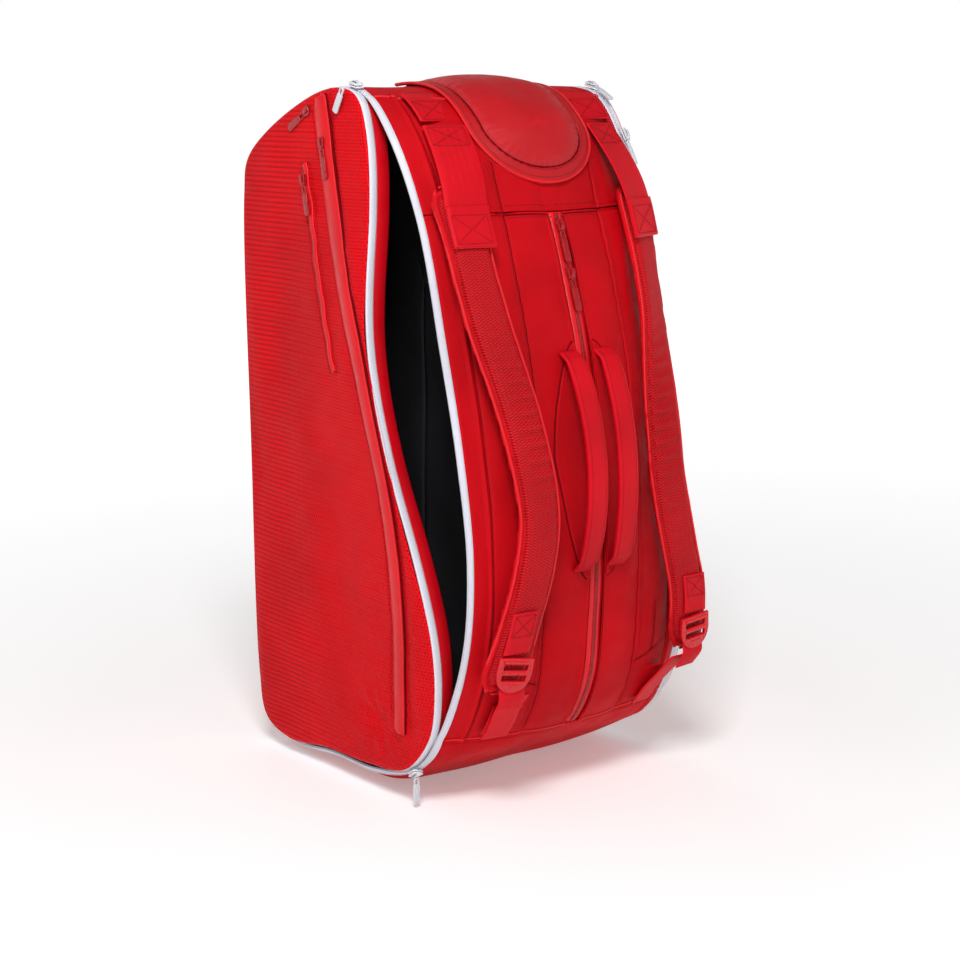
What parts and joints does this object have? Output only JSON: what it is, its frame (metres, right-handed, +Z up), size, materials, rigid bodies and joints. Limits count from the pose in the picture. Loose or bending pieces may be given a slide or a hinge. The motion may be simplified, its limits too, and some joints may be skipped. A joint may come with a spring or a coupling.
{
  "type": "racket tournament bag",
  "caption": "Upright padded racket bag with zipped side compartments, a zipped centre, shoulder straps, paired carry handles and a flap pocket on its end.",
  "frame": {"origin": "middle of the flat base that the bag stands on, between the side covers, near the middle of its depth", "axes": "+Z up along the length of the bag, -Y out of the shoulder-strap face, -X the side whose zip is open"},
  "size_m": [0.3955, 0.4507, 0.7756],
  "materials": {
    "red_cloth": "smooth fine polyester weave, satin",
    "side_mesh": "ribbed honeycomb mesh cloth",
    "strap_mesh": "padded air mesh with a bound edge",
    "red_webbing": "woven webbing, cross ribs",
    "red_zip": "coil zip under a smooth cover strip",
    "white_zip_tape": "white coil zip tape, satin",
    "red_plastic": "moulded, semi-gloss",
    "white_plastic": "moulded and coated, semi-gloss",
    "grey_lining": "smooth dark lining"
  },
  "bodies": {
    "carcass": {"back_panel_left": "red_cloth", "back_panel_right": "red_cloth", "back_yoke": "red_cloth", "base_panel": "red_cloth", "centre_zip_tape": "red_zip", "front_panel": "side_mesh", "left_anchor_wing": "red_cloth", "left_bottom_slider": "white_plastic", "left_divider": "grey_lining", "left_strap_anchor": "red_webbing", "left_zip_back": "white_zip_tape", "right_anchor_wing": "red_cloth", "right_divider": "grey_lining", "right_low_slider": "white_plastic", "right_strap_anchor": "red_webbing", "right_top_slider": "white_plastic", "right_zip_back": "white_zip_tape", "shoe_pocket": "grey_lining", "top_end_panel": "red_cloth"},
    "left_cover": {"left_cover": "side_mesh", "left_zip_cover": "white_zip_tape", "left_pocket_strip": "red_zip", "left_small_zip": "red_zip", "left_top_slider": "white_plastic"},
    "right_cover": {"right_cover": "side_mesh", "right_zip_cover": "white_zip_tape", "right_pocket_strip": "red_zip", "right_small_zip": "red_zip"},
    "shoe_flap": {"shoe_flap": "red_cloth"},
    "centre_upper_slider": {"centre_upper_slider": "red_plastic"},
    "centre_upper_tab": {"centre_upper_tab": "red_plastic"},
    "centre_lower_slider": {"centre_lower_slider": "red_plastic"},
    "centre_lower_tab": {"centre_lower_tab": "red_plastic"},
    "left_top_tab": {"left_top_tab": "white_plastic"},
    "left_bottom_tab": {"left_bottom_tab": "white_plastic"},
    "right_top_tab": {"right_top_tab": "white_plastic"},
    "right_low_tab": {"right_low_tab": "white_plastic"},
    "left_strip_slider": {"left_strip_slider": "red_plastic"},
    "left_strip_tab": {"left_strip_tab": "red_plastic"},
    "left_pocket_slider": {"left_pocket_slider": "red_plastic"},
    "left_pocket_tab": {"left_pocket_tab": "red_plastic"},
    "right_strip_slider": {"right_strip_slider": "red_plastic"},
    "right_strip_tab": {"right_strip_tab": "red_plastic"},
    "right_pocket_slider": {"right_pocket_slider": "red_plastic"},
    "right_pocket_tab": {"right_pocket_tab": "red_plastic"},
    "left_corner_slider": {"left_corner_slider": "red_plastic"},
    "left_corner_tab": {"left_corner_tab": "red_plastic"},
    "left_strap": {"left_strap_pad": "strap_mesh", "left_strap_webbing": "red_webbing", "left_lock_loop": "red_webbing", "left_adjuster_webbing": "red_webbing"},
    "left_ladder_lock": {"left_ladder_lock": "red_plastic"},
    "left_handle": {"left_carry_handle": "red_webbing"},
    "right_strap": {"right_strap_pad": "strap_mesh", "right_strap_webbing": "red_webbing", "right_lock_loop": "red_webbing", "right_adjuster_webbing": "red_webbing"},
    "right_ladder_lock": {"right_ladder_lock": "red_plastic"},
    "right_handle": {"right_carry_handle": "red_webbing"}
  },
  "joints": [
    {"name": "left_cover_swing", "type": "hinge", "parent": "carcass", "child": "left_cover", "pos_m": [-0.17, 0.2135, 0], "axis": [0, 0, -1], "range_deg": [0, 65]},
    {"name": "right_cover_swing", "type": "hinge", "parent": "carcass", "child": "right_cover", "pos_m": [0.17, 0.2135, 0], "axis": [0, 0, 1], "range_deg": [0, 65]},
    {"name": "shoe_flap_lift", "type": "hinge", "parent": "carcass", "child": "shoe_flap", "pos_m": [0, 0.04423, 0.77221], "axis": [-1, 0, 0], "range_deg": [0, 95]},
    {"name": "centre_upper_slide", "type": "hinge", "parent": "carcass", "child": "centre_upper_slider", "pos_m": [0, 0.7323, 0.2772], "axis": [1, 0, 0], "range_deg": [-0.6, 0.15]},
    {"name": "centre_upper_tab_swing", "type": "hinge", "parent": "centre_upper_slider", "child": "centre_upper_tab", "pos_m": [0, -0.14273, 0.616], "axis": [-1, -0.0004, 0.0001], "range_deg": [0, 90]},
    {"name": "centre_lower_slide", "type": "hinge", "parent": "carcass", "child": "centre_lower_slider", "pos_m": [0, 0.7323, 0.2772], "axis": [1, 0, 0], "range_deg": [0, 28.36]},
    {"name": "centre_lower_tab_swing", "type": "hinge", "parent": "centre_lower_slider", "child": "centre_lower_tab", "pos_m": [0, -0.16024, 0.5659], "axis": [-1, -0.0005, 0.0002], "range_deg": [0, 90]},
    {"name": "left_top_tab_swing", "type": "hinge", "parent": "left_cover", "child": "left_top_tab", "pos_m": [-0.18302, -0.00036, 0.76589], "axis": [0, 0.867, 0.4983], "range_deg": [0, 90]},
    {"name": "left_bottom_tab_swing", "type": "hinge", "parent": "carcass", "child": "left_bottom_tab", "pos_m": [-0.16774, -0.10328, 0.03284], "axis": [-1, 0, 0], "range_deg": [0, 90]},
    {"name": "right_top_tab_swing", "type": "hinge", "parent": "carcass", "child": "right_top_tab", "pos_m": [0.16539, -0.00991, 0.76785], "axis": [-1, 0, 0], "range_deg": [0, 90]},
    {"name": "right_low_tab_swing", "type": "hinge", "parent": "carcass", "child": "right_low_tab", "pos_m": [0.16759, -0.06171, 0.70637], "axis": [-0.8867, -0.4031, 0.2264], "range_deg": [0, 90]},
    {"name": "left_strip_slide", "type": "hinge", "parent": "left_cover", "child": "left_strip_slider", "pos_m": [1.64425, -1.92774, 1.15373], "axis": [-0.7308, -0.6149, 0.2966], "range_deg": [0, 6.21]},
    {"name": "left_strip_tab_swing", "type": "hinge", "parent": "left_strip_slider", "child": "left_strip_tab", "pos_m": [-0.18845, 0.03078, 0.70232], "axis": [0, 0.9523, -0.305], "range_deg": [0, 90]},
    {"name": "left_pocket_slide", "type": "slide", "parent": "left_cover", "child": "left_pocket_slider", "axis": [-0.064, -0.32, -0.9453], "range_m": [0, 0.177]},
    {"name": "left_pocket_tab_swing", "type": "hinge", "parent": "left_pocket_slider", "child": "left_pocket_tab", "pos_m": [-0.1893, 0.06598, 0.66196], "axis": [0, 0.9512, -0.3087], "range_deg": [0, 90]},
    {"name": "right_strip_slide", "type": "hinge", "parent": "right_cover", "child": "right_strip_slider", "pos_m": [-1.81475, 2.75691, -0.71239], "axis": [0.8387, 0.492, -0.2337], "range_deg": [0, 4.72]},
    {"name": "right_strip_tab_swing", "type": "hinge", "parent": "right_strip_slider", "child": "right_strip_tab", "pos_m": [0.1846, 0.02439, 0.70243], "axis": [0, -0.9175, 0.3977], "range_deg": [0, 90]},
    {"name": "right_pocket_slide", "type": "slide", "parent": "right_cover", "child": "right_pocket_slider", "axis": [0.0029, -0.3713, -0.9285], "range_m": [0, 0.18]},
    {"name": "right_pocket_tab_swing", "type": "hinge", "parent": "right_pocket_slider", "child": "right_pocket_tab", "pos_m": [0.18516, 0.0594, 0.66203], "axis": [0, -0.9285, 0.3713], "range_deg": [0, 90]},
    {"name": "left_corner_slide", "type": "slide", "parent": "left_cover", "child": "left_corner_slider", "axis": [0, 0.8762, -0.4819], "range_m": [0, 0.075]},
    {"name": "left_corner_tab_swing", "type": "hinge", "parent": "left_corner_slider", "child": "left_corner_tab", "pos_m": [-0.17982, 0.07811, 0.73839], "axis": [0, 0.4819, 0.8762], "range_deg": [0, 90]},
    {"name": "left_strap_swing", "type": "hinge", "parent": "carcass", "child": "left_strap", "pos_m": [-0.1055, -0.11233, 0.426], "axis": [0.0077, -0.177, -0.9842], "range_deg": [-1, 6]},
    {"name": "left_ladder_lock_tilt", "type": "hinge", "parent": "left_strap", "child": "left_ladder_lock", "pos_m": [-0.12311, -0.21946, 0.18401], "axis": [-0.9772, 0.1576, 0.1425], "range_deg": [0, 30]},
    {"name": "left_handle_swing", "type": "hinge", "parent": "carcass", "child": "left_handle", "pos_m": [-0.024, -0.19089, 0.377], "axis": [0, -0.1093, -0.994], "range_deg": [-8, 20]},
    {"name": "right_strap_swing", "type": "hinge", "parent": "carcass", "child": "right_strap", "pos_m": [0.1055, -0.11106, 0.426], "axis": [0.0077, 0.177, 0.9842], "range_deg": [-1, 6]},
    {"name": "right_ladder_lock_tilt", "type": "hinge", "parent": "right_strap", "child": "right_ladder_lock", "pos_m": [0.14108, -0.21007, 0.18426], "axis": [-0.9939, 0, -0.1104], "range_deg": [0, 30]},
    {"name": "right_handle_swing", "type": "hinge", "parent": "carcass", "child": "right_handle", "pos_m": [0.024, -0.19014, 0.377], "axis": [0, 0.1103, 0.9939], "range_deg": [-8, 20]}
  ]
}
